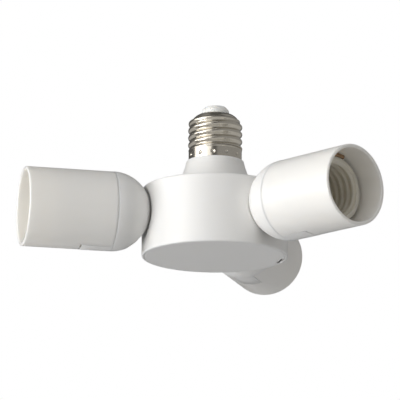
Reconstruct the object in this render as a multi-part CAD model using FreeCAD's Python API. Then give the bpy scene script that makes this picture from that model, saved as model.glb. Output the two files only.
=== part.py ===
import FreeCAD, Part
import math
import os

# A three-way lamp socket adapter: a round hub with a screw base on top and
# three lamp heads around it.  Each head is a sleeve on a ball-shaped end that
# sits in a hollow seat of the hub and tilts on a hollow arm.
# Millimetres.  The hub stands on z = 0, its axis is Z, and the base points up.

os.makedirs("parts", exist_ok=True)

V = FreeCAD.Vector
ORIGIN = V(0, 0, 0)
X_AXIS = V(1, 0, 0)
Y_AXIS = V(0, 1, 0)
Z_AXIS = V(0, 0, 1)

# hub
head_count = 3
first_head_azimuth = 90.0
hub_radius = 35.25
hub_height = 33.3
hub_wall = 2.2
hub_top_plate = 2.4
hub_top_rise = 0.9
hub_top_round = 1.0
hub_foot_round = 0.8
seat_rim_below = 7.57
seat_rim_above = 1.67
neck_height = 47.8
neck_top_radius = 13.4
neck_rim = 0.5
neck_half_angle = 19.3
neck_fillet = 3.0
neck_wall = 2.4

# bottom cover
cover_thickness = 2.0
cover_lip = 1.2
cover_clearance = 0.1
notch_length = 10.0
notch_width = 1.0
notch_depth = 1.3
hook_width = 8.0
hook_thickness = 1.8
hook_height = 6.0
hook_nose = 0.7
hook_nose_height = 1.4
hook_clearance = 0.15
catch_height = 1.6

# screw base
thread_crest_radius = 13.15
thread_root_radius = 12.2
shell_sheet = 0.35
band_height = 3.4
thread_runout = 0.9
thread_length = 14.1
shoulder_height = 5.2
shoulder_rise = 1.6
shoulder_reach = 2.2
shell_mouth_radius = 6.9
insulator_height = 3.8
insulator_top_radius = 4.6
insulator_step = 0.95
insulator_sleeve_length = 5.0
insulator_crown = 0.5
tip_radius = 3.1
tip_height = 0.55
tip_shank_radius = 1.5
tip_shank_length = 7.0
spigot_wall = 2.0
spigot_clearance = 0.1
spigot_height = 13.5
spigot_step = 1.0

# heads
head_radius = 19.1
head_wall = 2.1
sleeve_length = 42.9
sleeve_wall = 1.7
sleeve_mouth_round = 0.6
seat_clearance = 0.8
seat_wall = 2.2
seat_edge_round = 1.2
tilt_limit = 50.0
tilt_margin = 3.0
slot_clearance = 0.3
spigot_ring_wall = 1.7
spigot_ring_clearance = 0.1
spigot_ring_root = 4.0
tongue_length = 15.0
tongue_width = 10.0
tongue_side_gap = 0.15
tongue_tip_gap = 0.7

# arm that carries a head
nipple_radius = 4.0
nipple_clearance = 0.1
nipple_tail = 1.5
collar_radius = 5.5
collar_thickness = 1.4
collar_clearance = 0.05
collar_flat = 4.15
knuckle_radius = 6.5
knuckle_half_width = 6.0
cheek_thickness = 1.8
knuckle_web = 3.5
trunnion_radius = 2.2
trunnion_clearance = 0.05
trunnion_end_gap = 0.2
saddle_gap = 0.8
saddle_thickness = 2.8
saddle_half_height = 5.5
leg_half_height = 4.5
leg_clearance = 0.1
washer_thickness = 0.6
washer_radius = 4.6
seat_boss_radius = 7.5
seat_boss_height = 2.4
lock_washer_thickness = 0.6
lock_washer_radius = 6.6
lock_washer_teeth = 12
tooth_gap = 0.9
tooth_length = 1.0
nut_across_flats = 11.0
nut_thickness = 3.0
nut_clearance = 0.05

# lamp thread insert
insert_knuckle_gap = 0.9
insert_base_thickness = 2.0
insert_gap = 2.0
insert_wall = 3.25
insert_length = 21.5
insert_flange_clearance = 0.3
insert_floor_pocket = 4.2
insert_floor_relief = 0.75
insert_lead_in = 1.2
retainer_height = 1.0
retainer_thickness = 1.2
retainer_clearance = 0.1

# contacts and leads
contact_sheet = 0.4
side_contact_width = 6.5
side_contact_turn = 5.0
side_contact_lug = 1.2
side_contact_gap = 0.2
side_contact_window = 6.0
side_window_offset = 7.6
side_contact_set = 0.3
side_contact_end_gap = 0.3
side_contact_crest = 1.8
side_contact_foot = 0.6
relief_side_gap = 0.6
relief_depth = 1.2
centre_contact_width = 6.0
centre_contact_rise = 3.4
leaf_tail = 0.5
leaf_bend = 0.7
leaf_crest = 1.5
leaf_end = 3.6
leaf_end_rise = 1.6
rivet_radius = 1.2
rivet_head_radius = 2.1
rivet_head_height = 0.8
rivet_clearance = 0.05
live_rivet_inset = 4.4
side_rivet_inset = 3.4
lead_radius = 1.1
lead_gap = 0.05
lead_clearance = 0.25
lead_pivot_gap = 1.2
lead_bend_x = 3.8
lead_meeting_radius = 2.6
lead_corner = 4.0
lead_small_corner = 1.6
splice_radius = 4.8
splice_length = 9.6
live_splice_top = 13.0
side_splice_foot = 27.0
tip_lead_radius_out = 7.5
tip_lead_drop = 9.0
tip_lead_top_gap = 4.0
tip_lead_foot_gap = 4.0
tip_lead_turn_drop = 1.0
shell_lead_rise = 2.0

# how far neighbouring shapes run into each other before they are fused, and
# how far a cutting shape stands out of what it cuts
small_joint = 0.02
over = 1.0

# levels and radii that follow from the sizes above
dome_inner_radius = head_radius - head_wall
seat_radius = head_radius + seat_clearance
seat_mouth_radius = (hub_height - seat_rim_below - seat_rim_above) / 2
head_axis_z = seat_rim_below + seat_mouth_radius
head_centre_distance = hub_radius + math.sqrt(seat_radius**2 - seat_mouth_radius**2)
band_top_z = neck_height + band_height
thread_bottom_z = band_top_z + thread_runout
thread_top_z = thread_bottom_z + thread_length
shell_top_z = thread_top_z + shoulder_height
insulator_top_z = shell_top_z + insulator_height
insulator_sleeve_radius = shell_mouth_radius - shell_sheet - insulator_step
sleeve_bore_radius = head_radius - sleeve_wall
ring_outer_radius = sleeve_bore_radius - spigot_ring_clearance
ring_inner_radius = ring_outer_radius - spigot_ring_wall
slot_half_width = nipple_radius + slot_clearance
slot_end_angle = tilt_limit + tilt_margin
collar_inner_x = seat_radius + collar_clearance
collar_seat_x = collar_inner_x + collar_thickness
saddle_start = knuckle_half_width + saddle_gap
saddle_end = saddle_start + saddle_thickness
seat_boss_face = seat_radius + seat_wall + seat_boss_height
nipple_reach = seat_boss_face + lock_washer_thickness + nut_thickness + nipple_tail
insert_radius = sleeve_bore_radius - insert_gap
insert_minor_radius = insert_radius - insert_wall
insert_floor_radius = insert_minor_radius + insert_floor_relief
insert_base_x = knuckle_radius + insert_knuckle_gap
insert_floor_x = insert_base_x + insert_base_thickness
insert_rim_x = insert_floor_x + insert_length
side_window_start = insert_floor_x + side_window_offset
side_contact_inner = insert_minor_radius + side_contact_set
live_rivet_z = live_rivet_inset - insert_floor_radius
side_rivet_z = insert_floor_radius - side_rivet_inset
lead_offset = lead_radius + lead_gap
nipple_bore_radius = lead_offset + lead_radius + lead_clearance
retainer_x = insert_floor_x + retainer_clearance
cover_radius = hub_radius - cover_lip - cover_clearance
hub_inner_radius = hub_radius - hub_wall
band_radius = neck_top_radius - neck_rim
band_inner_radius = band_radius - shell_sheet


def cylinder(radius, start, end, axis=X_AXIS, through=ORIGIN):
    """A round bar from start to end along an axis through a point."""
    return Part.makeCylinder(radius, end - start, through + axis * start, axis)


def block(low, high):
    """A box between two corners."""
    size = V(*high) - V(*low)
    return Part.makeBox(size.x, size.y, size.z, V(*low))


def turned(outline):
    """A closed outline of (radius, height) points turned about Z."""
    points = [V(r, 0, h) for r, h in outline]
    face = Part.Face(Part.makePolygon(points + [points[0]]))
    return face.revolve(ORIGIN, Z_AXIS, 360)


def extruded(outline, half_width):
    """An outline of (x, z) points made half_width thick each way along Y."""
    points = [V(x, -half_width, z) for x, z in outline]
    face = Part.Face(Part.makePolygon(points + [points[0]]))
    return face.extrude(V(0, 2 * half_width, 0))


def turned_about(shape, axis, angle, through=ORIGIN):
    """A copy of a shape turned about an axis."""
    copy = shape.copy()
    copy.rotate(through, axis, angle)
    return copy


def tube_along(points, radius, corner):
    """A round lead along straight runs joined by tangent arcs."""
    path = [V(*p) for p in points]
    edges = []
    bends = []
    start = path[0]
    for before, here, after in zip(path, path[1:], path[2:]):
        arrive = (here - before).normalize()
        leave = (after - here).normalize()
        turn = arrive.getAngle(leave)
        shorter = min((here - before).Length, (after - here).Length)
        reach = min(corner * math.tan(turn / 2), 0.45 * shorter)
        bend = reach / math.tan(turn / 2)
        bends.append(round(bend, 2))
        first = here - arrive * reach
        last = here + leave * reach
        towards = (leave - arrive).normalize()
        centre = here + towards * (bend / math.cos(turn / 2))
        middle = centre - towards * bend
        edges.append(Part.LineSegment(start, first).toShape())
        edges.append(Part.Arc(first, middle, last).toShape())
        start = last
    edges.append(Part.LineSegment(start, path[-1]).toShape())
    direction = (path[1] - path[0]).normalize()
    ring = Part.Wire([Part.makeCircle(radius, path[0], direction)])
    route = Part.Wire(edges)
    tube = route.makePipeShell([ring], True, True)
    share = tube.Volume / (math.pi * radius**2 * route.Length)
    print("lead", round(route.Length, 1), "mm, bends", bends, "mm, volume share", round(share, 4))
    return tube


def head_place(index, shape):
    """Move a shape from a head's own frame (X outward) to its place."""
    placed = shape.copy()
    placed.translate(V(head_centre_distance, 0, head_axis_z))
    azimuth = first_head_azimuth + index * 360.0 / head_count
    placed.rotate(ORIGIN, Z_AXIS, azimuth)
    return placed


def at_azimuth(shape, azimuth):
    """A copy of a shape turned about the hub axis."""
    return turned_about(shape, Z_AXIS, azimuth)


# The hub


def neck_radius(z):
    """Radius of the neck's cone at height z."""
    return neck_top_radius + (neck_height - z) * math.tan(math.radians(neck_half_angle))


def hub_outside():
    """The drum with its shallow top and the neck, as one turned solid."""
    top_z = hub_height + hub_top_rise
    foot_radius = neck_radius(top_z)
    outline = [
        (0, 0),
        (hub_radius, 0),
        (hub_radius, hub_height),
        (foot_radius, top_z),
        (neck_top_radius, neck_height),
        (0, neck_height),
    ]
    body = turned(outline)
    body = round_edges(body, neck_fillet, lambda e: is_circle(e, foot_radius, top_z))
    body = round_edges(body, hub_top_round, lambda e: is_circle(e, hub_radius, hub_height))
    return round_edges(body, hub_foot_round, lambda e: is_circle(e, hub_radius, 0))


def is_circle(edge, radius, z):
    """Whether an edge is the circle about Z of this radius and height."""
    curve = edge.Curve
    return (
        isinstance(curve, Part.Circle)
        and abs(curve.Radius - radius) < small_joint
        and abs(curve.Center.z - z) < small_joint
    )


def round_edges(shape, radius, wanted):
    """Fillet the edges that are wanted."""
    edges = [edge for edge in shape.Edges if wanted(edge)]
    return shape.makeFillet(radius, edges)


def hub_inside():
    """The hollow of the drum and neck."""
    top_z = hub_height + hub_top_rise
    plate_z = hub_height - hub_top_plate
    neck_foot = neck_radius(top_z) - neck_wall
    outline = [
        (0, -over),
        (cover_radius + cover_clearance, -over),
        (cover_radius + cover_clearance, cover_thickness),
        (hub_inner_radius, cover_thickness),
        (hub_inner_radius, plate_z),
        (neck_foot, plate_z + hub_top_rise),
        (spigot_bore_radius(), neck_height),
        (0, neck_height),
    ]
    return turned(outline)


def spigot_bore_radius():
    """Inner radius of the spigot that carries the screw shell."""
    return thread_root_radius - shell_sheet - spigot_clearance - spigot_wall


def seat_sphere(radius):
    """A ball about the first head's centre, in the hub's frame."""
    return Part.makeSphere(radius, V(head_centre_distance, 0, head_axis_z))


def seat_boss():
    """The thick round pad behind a seat that the arm's nut pulls against."""
    reach = head_centre_distance - seat_radius - seat_wall
    start = head_centre_distance - seat_boss_face
    return cylinder(seat_boss_radius, start, reach + seat_wall, X_AXIS, V(0, 0, head_axis_z))


def collar_blank(radius, half_width, start, end):
    """A round collar with two flats, in the head's frame."""
    blank = cylinder(radius, start, end)
    return blank.common(block((start, -half_width, -radius), (end, half_width, radius)))


def hub_housing():
    """Drum and neck in one moulding, with three hollow ball seats."""
    outside = hub_outside()
    inside = hub_inside()
    arm_centre = V(0, 0, head_axis_z)
    for index in range(head_count):
        azimuth = first_head_azimuth + index * 360.0 / head_count
        seat = at_azimuth(seat_sphere(seat_radius), azimuth)
        back = at_azimuth(seat_sphere(seat_radius + seat_wall), azimuth)
        outside = outside.cut(seat)
        inside = inside.cut(back).cut(at_azimuth(seat_boss(), azimuth))
    outside = round_edges(outside, seat_edge_round, is_seat_edge)
    housing = outside.cut(inside)
    for index in range(head_count):
        azimuth = first_head_azimuth + index * 360.0 / head_count
        hole = cylinder(nipple_radius + nipple_clearance, 0, hub_radius, X_AXIS, arm_centre)
        recess = collar_blank(
            collar_radius + nipple_clearance,
            collar_flat + nipple_clearance,
            -collar_seat_x,
            -seat_radius + seat_clearance,
        )
        housing = housing.cut(at_azimuth(hole, azimuth)).cut(head_place(index, recess))
        housing = housing.fuse(at_azimuth(cover_catch(), azimuth + hook_turn()))
    housing = housing.fuse(shell_spigot())
    return housing.removeSplitter()


def hook_turn():
    """Angle from a head to the cover hook beside it."""
    return 180.0 / head_count


def is_seat_edge(edge):
    """Whether an edge lies both on the drum's wall and on a seat's ball."""
    for point in edge.discretize(9):
        if abs(math.hypot(point.x, point.y) - hub_radius) > small_joint:
            return False
        spread = [point.distanceToPoint(centre) for centre in seat_centres()]
        if abs(min(spread) - seat_radius) > small_joint:
            return False
    return True


def seat_centres():
    """The centres of the ball seats."""
    first = Part.Vertex(head_centre_distance, 0, head_axis_z)
    turns = [first_head_azimuth + index * 360.0 / head_count for index in range(head_count)]
    return [at_azimuth(first, turn).Point for turn in turns]


def cover_catch():
    """The small ledge inside the wall that a cover hook snaps over."""
    nose_z = cover_thickness + hook_height - hook_nose_height
    ring = cylinder(hub_inner_radius + small_joint, nose_z - catch_height, nose_z, Z_AXIS)
    bore = cylinder(hub_inner_radius - hook_nose, 0, hub_height, Z_AXIS)
    sector = block((0, -hook_width / 2, 0), (hub_radius, hook_width / 2, hub_height))
    return ring.cut(bore).common(sector)


def shell_spigot():
    """The tube above the neck that the screw shell is pressed on."""
    bore = spigot_bore_radius()
    root = bore + spigot_wall
    band = band_inner_radius - spigot_clearance
    outline = [
        (bore, neck_height - over),
        (band, neck_height - over),
        (band, band_top_z - spigot_step),
        (root, band_top_z),
        (root, neck_height + spigot_height),
        (bore, neck_height + spigot_height),
    ]
    return turned(outline)


def bottom_cover():
    """The round plate that closes the hub, with a pry notch and snap hooks."""
    plate = cylinder(cover_radius, 0, cover_thickness, Z_AXIS)
    low = (cover_radius - notch_width, -notch_length / 2, -over)
    high = (cover_radius + over, notch_length / 2, notch_depth)
    plate = plate.cut(at_azimuth(block(low, high), first_head_azimuth - hook_turn()))
    for index in range(head_count):
        azimuth = first_head_azimuth + index * 360.0 / head_count + hook_turn()
        plate = plate.fuse(at_azimuth(cover_hook(), azimuth))
    return plate.removeSplitter()


def cover_hook():
    """One springy hook that stands on the cover, curved like the wall."""
    face = hub_inner_radius - hook_nose - hook_clearance
    back = face - hook_thickness
    top = cover_thickness + hook_height
    nose_foot = top - hook_nose_height + hook_clearance
    outline = [
        (back, cover_thickness / 2),
        (face, cover_thickness / 2),
        (face, nose_foot),
        (face + hook_nose, nose_foot),
        (face + hook_nose / 2, top),
        (back, top),
    ]
    sector = block((0, -hook_width / 2, 0), (hub_radius, hook_width / 2, hub_height))
    return turned(outline).common(sector)


# The screw base


def shell_meridian(inset):
    """The shell's outline from foot to mouth as edges, moved in by an inset."""
    band = band_radius - inset
    crest = thread_crest_radius - inset
    mouth_z = shell_top_z - inset
    foot = V(band, 0, neck_height)
    band_top = V(band, 0, band_top_z)
    thread_foot = V(crest, 0, thread_bottom_z)
    thread_top = V(crest, 0, thread_top_z)
    mouth = V(shell_mouth_radius, 0, mouth_z)
    shoulder = Part.BezierCurve()
    shoulder.setPoles([
        thread_top,
        V(crest, 0, thread_top_z + shoulder_rise),
        V(shell_mouth_radius + shoulder_reach, 0, mouth_z),
        mouth,
    ])
    points = [foot, band_top, thread_foot, thread_top]
    lines = [Part.LineSegment(a, b).toShape() for a, b in zip(points, points[1:])]
    return foot, mouth, lines + [shoulder.toShape()]


def screw_shell():
    """The pressed metal shell of the screw base, with a rounded shoulder."""
    foot_out, mouth_out, outer = shell_meridian(0.0)
    foot_in, mouth_in, inner = shell_meridian(shell_sheet)
    ends = [
        Part.LineSegment(foot_in, foot_out).toShape(),
        Part.LineSegment(mouth_out, mouth_in).toShape(),
    ]
    wire = Part.Wire(Part.__sortEdges__(outer + inner + ends))
    return Part.Face(wire).revolve(ORIGIN, Z_AXIS, 360)


def cap_insulator():
    """The white plug that closes the shell and carries the tip contact."""
    lip = shell_mouth_radius - shell_sheet
    seat_z = shell_top_z - shell_sheet
    outline = [
        (tip_shank_radius + rivet_clearance, seat_z - insulator_sleeve_length),
        (insulator_sleeve_radius, seat_z - insulator_sleeve_length),
        (insulator_sleeve_radius, seat_z),
        (lip, seat_z),
        (lip, shell_top_z + small_joint),
        (shell_mouth_radius, shell_top_z + small_joint),
        (insulator_top_radius + insulator_crown, insulator_top_z - insulator_crown),
        (insulator_top_radius, insulator_top_z),
        (tip_shank_radius + rivet_clearance, insulator_top_z),
    ]
    return turned(outline)


def tip_contact():
    """The domed centre contact riveted through the insulator."""
    rise = tip_height
    ball = (tip_radius**2 + rise**2) / (2 * rise)
    dome = Part.makeSphere(ball, V(0, 0, insulator_top_z + rise - ball), X_AXIS)
    dome = dome.common(cylinder(tip_radius, insulator_top_z, insulator_top_z + 2 * rise, Z_AXIS))
    foot = insulator_top_z - tip_shank_length
    shank = cylinder(tip_shank_radius, foot, insulator_top_z, Z_AXIS)
    return dome.fuse(shank).removeSplitter()


# A head, in its own frame: X outward along the lamp's axis, Z up


def tilt_slot():
    """The cut in the ball end that lets the arm pass at every tilt."""
    reach = 2 * head_radius
    steps = [math.radians(180 - slot_end_angle + k * slot_end_angle / 4) for k in range(9)]
    fan = [(0, 0)] + [(reach * math.cos(a), reach * math.sin(a)) for a in steps]
    slot = extruded(fan, slot_half_width)
    for side in (-1, 1):
        end = cylinder(slot_half_width, 0, reach)
        end = turned_about(end, Y_AXIS, 180 + side * slot_end_angle)
        slot = slot.fuse(end)
    return slot


def head_dome():
    """Ball end with its slot, saddles, spigot ring and locking tongue."""
    ball = Part.makeSphere(head_radius, ORIGIN, X_AXIS)
    hollow = Part.makeSphere(dome_inner_radius, ORIGIN, X_AXIS)
    back = block((-2 * head_radius,) * 3, (0, 2 * head_radius, 2 * head_radius))
    dome = ball.cut(hollow).common(back)
    ring = cylinder(ring_outer_radius, -spigot_ring_root, insert_base_x)
    dome = dome.fuse(ring.cut(cylinder(ring_inner_radius, -head_radius, head_radius)))
    core = Part.makeSphere(head_radius - head_wall / 2, ORIGIN, X_AXIS)
    for side in (-1, 1):
        near = side * saddle_start
        far = side * saddle_end
        low = (-head_radius, min(near, far), -saddle_half_height)
        high = (0, max(near, far), saddle_half_height)
        dome = dome.fuse(block(low, high).common(core))
    notch = cylinder(trunnion_radius + trunnion_clearance, -saddle_end - over,
                     saddle_end + over, Y_AXIS)
    half = side_contact_width / 2 + relief_side_gap
    relief = block((insert_base_x - relief_depth, -half, 0), (head_radius, half, head_radius))
    dome = dome.cut(turned_about(relief, X_AXIS, -side_contact_turn))
    dome = dome.cut(notch).cut(tilt_slot())
    return dome.fuse(tongue()).removeSplitter()


def tongue():
    """The flush tongue under the sleeve that locks it to the dome."""
    bar = cylinder(head_radius, 0, tongue_length)
    bar = bar.cut(cylinder(ring_outer_radius, -over, insert_base_x))
    bar = bar.cut(cylinder(sleeve_bore_radius, insert_base_x, sleeve_length))
    low = (0, -tongue_width / 2, -head_radius)
    high = (tongue_length, tongue_width / 2, 0)
    return bar.common(block(low, high))


def lamp_sleeve():
    """Plain round sleeve, open at the mouth, slotted for the tongue."""
    tube = cylinder(head_radius, 0, sleeve_length)
    tube = tube.cut(cylinder(sleeve_bore_radius, -over, sleeve_length + over))
    tube = round_edges(tube, sleeve_mouth_round, is_mouth_edge)
    ledge = cylinder(sleeve_bore_radius + small_joint, retainer_x, retainer_x + retainer_thickness)
    ledge = ledge.cut(cylinder(sleeve_bore_radius - retainer_height, 0, sleeve_length))
    half = tongue_width / 2 + tongue_side_gap
    slot = block((-over, -half, -2 * head_radius), (tongue_length + tongue_tip_gap, half, 0))
    return tube.fuse(ledge).cut(slot).removeSplitter()


def is_mouth_edge(edge):
    """Whether an edge is the outer or inner circle of the sleeve's mouth."""
    return abs(edge.BoundBox.XMin - sleeve_length) < small_joint


def thread_insert():
    """White screw socket: flanged base, round wall and two saddle legs."""
    body = cylinder(insert_radius, insert_base_x, insert_rim_x)
    flange_radius = sleeve_bore_radius - insert_flange_clearance
    body = body.fuse(cylinder(flange_radius, insert_base_x, insert_floor_x))
    body = body.cut(cylinder(insert_minor_radius, insert_floor_x, insert_rim_x + over))
    pocket_end = insert_floor_x + insert_floor_pocket
    body = body.cut(cylinder(insert_floor_radius, insert_floor_x, pocket_end))
    lead_in = Part.makeCone(
        insert_minor_radius, insert_minor_radius + insert_lead_in + over, insert_lead_in + over,
        V(insert_rim_x - insert_lead_in, 0, 0), X_AXIS,
    )
    body = body.cut(lead_in)
    for side in (-1, 1):
        near = side * saddle_start
        far = side * saddle_end
        low = (leg_clearance, min(near, far), -leg_half_height)
        high = (insert_base_x, max(near, far), leg_half_height)
        body = body.fuse(block(low, high))
    body = body.cut(cylinder(trunnion_radius + trunnion_clearance, -head_radius, head_radius,
                             Y_AXIS))
    half = side_contact_width / 2 + side_contact_gap
    outside = insert_radius - small_joint
    foot_slot = block((insert_base_x - over, -half, outside),
                      (insert_floor_x + over, half, head_radius))
    window_end = side_window_start + side_contact_window
    window = block((side_window_start, -half, 0), (window_end, half, head_radius))
    body = body.cut(turned_about(foot_slot.fuse(window), X_AXIS, -side_contact_turn))
    for hole in rivet_holes():
        body = body.cut(hole)
    return body.removeSplitter()


def rivet_holes():
    """The two rivet holes through the insert's base."""
    radius = rivet_radius + rivet_clearance
    live = cylinder(radius, 0, insert_floor_x + over, X_AXIS, V(0, 0, live_rivet_z))
    side = cylinder(radius, 0, insert_floor_x + over, X_AXIS, V(0, 0, side_rivet_z))
    return live, turned_about(side, X_AXIS, -side_contact_turn)


def rivet(front, back, z):
    """One rivet with a head at each end, parallel to the lamp's axis."""
    centre = V(0, 0, z)
    shank = cylinder(rivet_radius, back, front, X_AXIS, centre)
    for start in (front, back - rivet_head_height):
        head = cylinder(rivet_head_radius, start, start + rivet_head_height, X_AXIS, centre)
        shank = shank.fuse(head)
    return shank.removeSplitter()


def contact_rivets():
    """The rivets that hold the two contacts on the insert's base."""
    live = rivet(insert_floor_x + contact_sheet, insert_base_x, live_rivet_z)
    side = rivet(insert_floor_x, insert_base_x - contact_sheet, side_rivet_z)
    return Part.makeCompound([live, turned_about(side, X_AXIS, -side_contact_turn)])


def side_contact():
    """Strip outside the insert that reaches the lamp's screw shell."""
    under = insert_radius
    over = insert_radius + contact_sheet
    inner = side_contact_inner
    back = insert_base_x - contact_sheet
    start = side_window_start + side_contact_end_gap
    end = side_window_start + side_contact_window - side_contact_end_gap
    middle = (start + end) / 2
    flat = side_contact_crest / 2
    top = insert_rim_x + contact_sheet
    lug = over + side_contact_lug
    foot = side_rivet_z - rivet_head_radius - side_contact_foot
    outline = [
        (back, foot),
        (insert_base_x, foot),
        (insert_base_x, under),
        (start, under),
        (middle - flat, inner),
        (middle + flat, inner),
        (end, under),
        (top, under),
        (top, lug),
        (insert_rim_x, lug),
        (insert_rim_x, over),
        (end, over),
        (middle + flat, inner + contact_sheet),
        (middle - flat, inner + contact_sheet),
        (start, over),
        (back, over),
    ]
    strip = extruded(outline, side_contact_width / 2)
    strip = strip.cut(block((insert_base_x, -head_radius, 0), (start, head_radius, insert_radius)))
    strip = strip.cut(cylinder(insert_radius, end, insert_rim_x))
    strip = strip.cut(cylinder(insert_radius, insert_base_x, start))
    strip = turned_about(strip, X_AXIS, -side_contact_turn)
    return strip.cut(rivet_holes()[1])


def centre_contact():
    """Springy brass leaf that the lamp's tip presses."""
    tail_z = live_rivet_z - rivet_head_radius - leaf_tail
    bend_z = live_rivet_z + rivet_head_radius + leaf_bend
    floor = insert_floor_x
    tip = floor + centre_contact_rise
    sheet = contact_sheet
    outline = [
        (floor, tail_z),
        (floor, bend_z),
        (tip - sheet, -leaf_crest),
        (tip - sheet, leaf_crest),
        (floor + leaf_end_rise, leaf_end),
        (floor + leaf_end_rise + sheet, leaf_end + sheet),
        (tip, leaf_crest + sheet),
        (tip, -leaf_crest - sheet),
        (floor + sheet, bend_z - sheet),
        (floor + sheet, tail_z),
    ]
    return extruded(outline, centre_contact_width / 2).cut(rivet_holes()[0])


def head_lead(side, end_x, end_z, turn):
    """A short lead from the pivot to a rivet on the insert's back."""
    points = [
        (lead_pivot_gap, 0, side * lead_offset),
        (lead_bend_x, 0, side * lead_offset),
        (lead_bend_x, 0, end_z),
        (end_x, 0, end_z),
    ]
    if turn:
        angle = math.radians(turn)
        y = end_z * math.sin(angle)
        z = end_z * math.cos(angle)
        points[2] = (lead_bend_x, y, z)
        points[3] = (end_x, y, z)
    return tube_along(points, lead_radius, lead_small_corner)


# The arm of a head, in the same frame


def pivot_arm():
    """Hollow threaded nipple with a flatted collar and a forked knuckle."""
    arm = cylinder(nipple_radius, -nipple_reach, -knuckle_web)
    arm = arm.fuse(collar_blank(collar_radius, collar_flat, -collar_seat_x, -collar_inner_x))
    knuckle = cylinder(knuckle_radius, -knuckle_half_width, knuckle_half_width, Y_AXIS)
    gap = knuckle_half_width - cheek_thickness
    fork = block((-knuckle_radius + knuckle_web, -gap, -head_radius),
                 (head_radius, gap, head_radius))
    arm = arm.fuse(knuckle.cut(fork))
    end = saddle_end - trunnion_end_gap
    for start, stop in ((knuckle_half_width - small_joint, end), (-end, -knuckle_half_width)):
        arm = arm.fuse(cylinder(trunnion_radius, start, stop, Y_AXIS))
    arm = arm.cut(fork)
    arm = arm.cut(cylinder(nipple_bore_radius, -nipple_reach - over, 0))
    return arm.removeSplitter()


def friction_washers():
    """Two flat spring washers that give the tilt its grip."""
    rings = []
    clearance = (saddle_gap - washer_thickness) / 2
    for side in (-1, 1):
        near = side * (knuckle_half_width + clearance)
        far = side * (knuckle_half_width + clearance + washer_thickness)
        ring = cylinder(washer_radius, min(near, far), max(near, far), Y_AXIS)
        rings.append(ring.cut(cylinder(trunnion_radius + trunnion_clearance, -head_radius,
                                       head_radius, Y_AXIS)))
    return Part.makeCompound(rings)


def lock_washer():
    """Toothed washer between the nut and the seat's pad."""
    start = -seat_boss_face - lock_washer_thickness
    ring = cylinder(lock_washer_radius, start, -seat_boss_face)
    ring = ring.cut(cylinder(nipple_radius + nipple_clearance, start - over, 0))
    low = (start - over, -tooth_gap / 2, lock_washer_radius - tooth_length)
    gap = block(low, (0, tooth_gap / 2, lock_washer_radius + over))
    for index in range(lock_washer_teeth):
        ring = ring.cut(turned_about(gap, X_AXIS, index * 360.0 / lock_washer_teeth))
    return ring


def arm_nut():
    """Hexagon nut that clamps the arm inside the hub."""
    start = -seat_boss_face - lock_washer_thickness - nut_thickness
    corner = nut_across_flats / 2 / math.cos(math.pi / 6)
    points = []
    for index in range(7):
        angle = math.pi / 6 + index * math.pi / 3
        points.append(V(start, corner * math.cos(angle), corner * math.sin(angle)))
    nut = Part.Face(Part.makePolygon(points)).extrude(V(nut_thickness, 0, 0))
    return nut.cut(cylinder(nipple_radius + nut_clearance, -nipple_reach - over, 0))


# Leads inside the hub


def hub_lead(side, index):
    """A lead from an arm's pivot to the splice at the hub's middle."""
    outer = head_centre_distance - lead_pivot_gap
    level = head_axis_z + side * lead_offset
    end_z = side_splice_foot if side > 0 else live_splice_top
    points = [
        (outer, 0, level),
        (lead_meeting_radius, 0, level),
        (lead_meeting_radius, 0, end_z),
    ]
    azimuth = first_head_azimuth + index * 360.0 / head_count
    return at_azimuth(tube_along(points, lead_radius, lead_corner), azimuth)


def tip_lead():
    """The lead from the tip contact down to the live splice."""
    out = tip_lead_radius_out
    start = insulator_top_z - tip_shank_length
    points = [
        (0, 0, start),
        (0, 0, start - tip_lead_drop),
        (out, 0, neck_height - tip_lead_top_gap),
        (out, 0, head_axis_z + tip_lead_foot_gap),
        (lead_meeting_radius, 0, head_axis_z - tip_lead_turn_drop),
        (lead_meeting_radius, 0, live_splice_top),
    ]
    lead = tube_along(points, lead_radius, lead_corner)
    return at_azimuth(lead, first_head_azimuth + hook_turn())


def shell_lead():
    """The lead from the screw shell's inside to the other splice."""
    out = tip_lead_radius_out
    top = neck_height + spigot_height + shell_lead_rise
    points = [
        (thread_root_radius - shell_sheet - spigot_clearance, 0, top),
        (out, 0, top),
        (out, 0, head_axis_z),
        (lead_meeting_radius, 0, head_axis_z),
        (lead_meeting_radius, 0, side_splice_foot),
    ]
    lead = tube_along(points, lead_radius, lead_corner)
    return at_azimuth(lead, first_head_azimuth - hook_turn())


def splice_cap(mouth_z, direction):
    """A closed cap crimped over the ends of four leads."""
    low = min(mouth_z, mouth_z + direction * splice_length)
    return cylinder(splice_radius, low, low + splice_length, Z_AXIS)


def build():
    """All pieces by name."""
    pieces = {
        "hub_housing": hub_housing(),
        "bottom_cover": bottom_cover(),
        "screw_shell": screw_shell(),
        "cap_insulator": cap_insulator(),
        "tip_contact": tip_contact(),
        "tip_lead": tip_lead(),
        "shell_lead": shell_lead(),
        "live_splice": splice_cap(live_splice_top, -1),
        "neutral_splice": splice_cap(side_splice_foot, 1),
    }
    arm_pieces = {
        "pivot_arm": pivot_arm(),
        "friction_washers": friction_washers(),
        "lock_washer": lock_washer(),
        "arm_nut": arm_nut(),
    }
    live_end = insert_base_x - rivet_head_height
    side_end = insert_base_x - contact_sheet - rivet_head_height
    head_pieces = {
        "head_dome": head_dome(),
        "lamp_sleeve": lamp_sleeve(),
        "thread_insert": thread_insert(),
        "side_contact": side_contact(),
        "centre_contact": centre_contact(),
        "contact_rivets": contact_rivets(),
        "head_live_lead": head_lead(-1, live_end, live_rivet_z, 0),
        "head_neutral_lead": head_lead(1, side_end, side_rivet_z, side_contact_turn),
    }
    for index in range(head_count):
        for name, shape in {**arm_pieces, **head_pieces}.items():
            pieces[f"{name}_{index + 1}"] = head_place(index, shape)
        pieces[f"hub_live_lead_{index + 1}"] = hub_lead(-1, index)
        pieces[f"hub_neutral_lead_{index + 1}"] = hub_lead(1, index)
    return pieces


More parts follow.
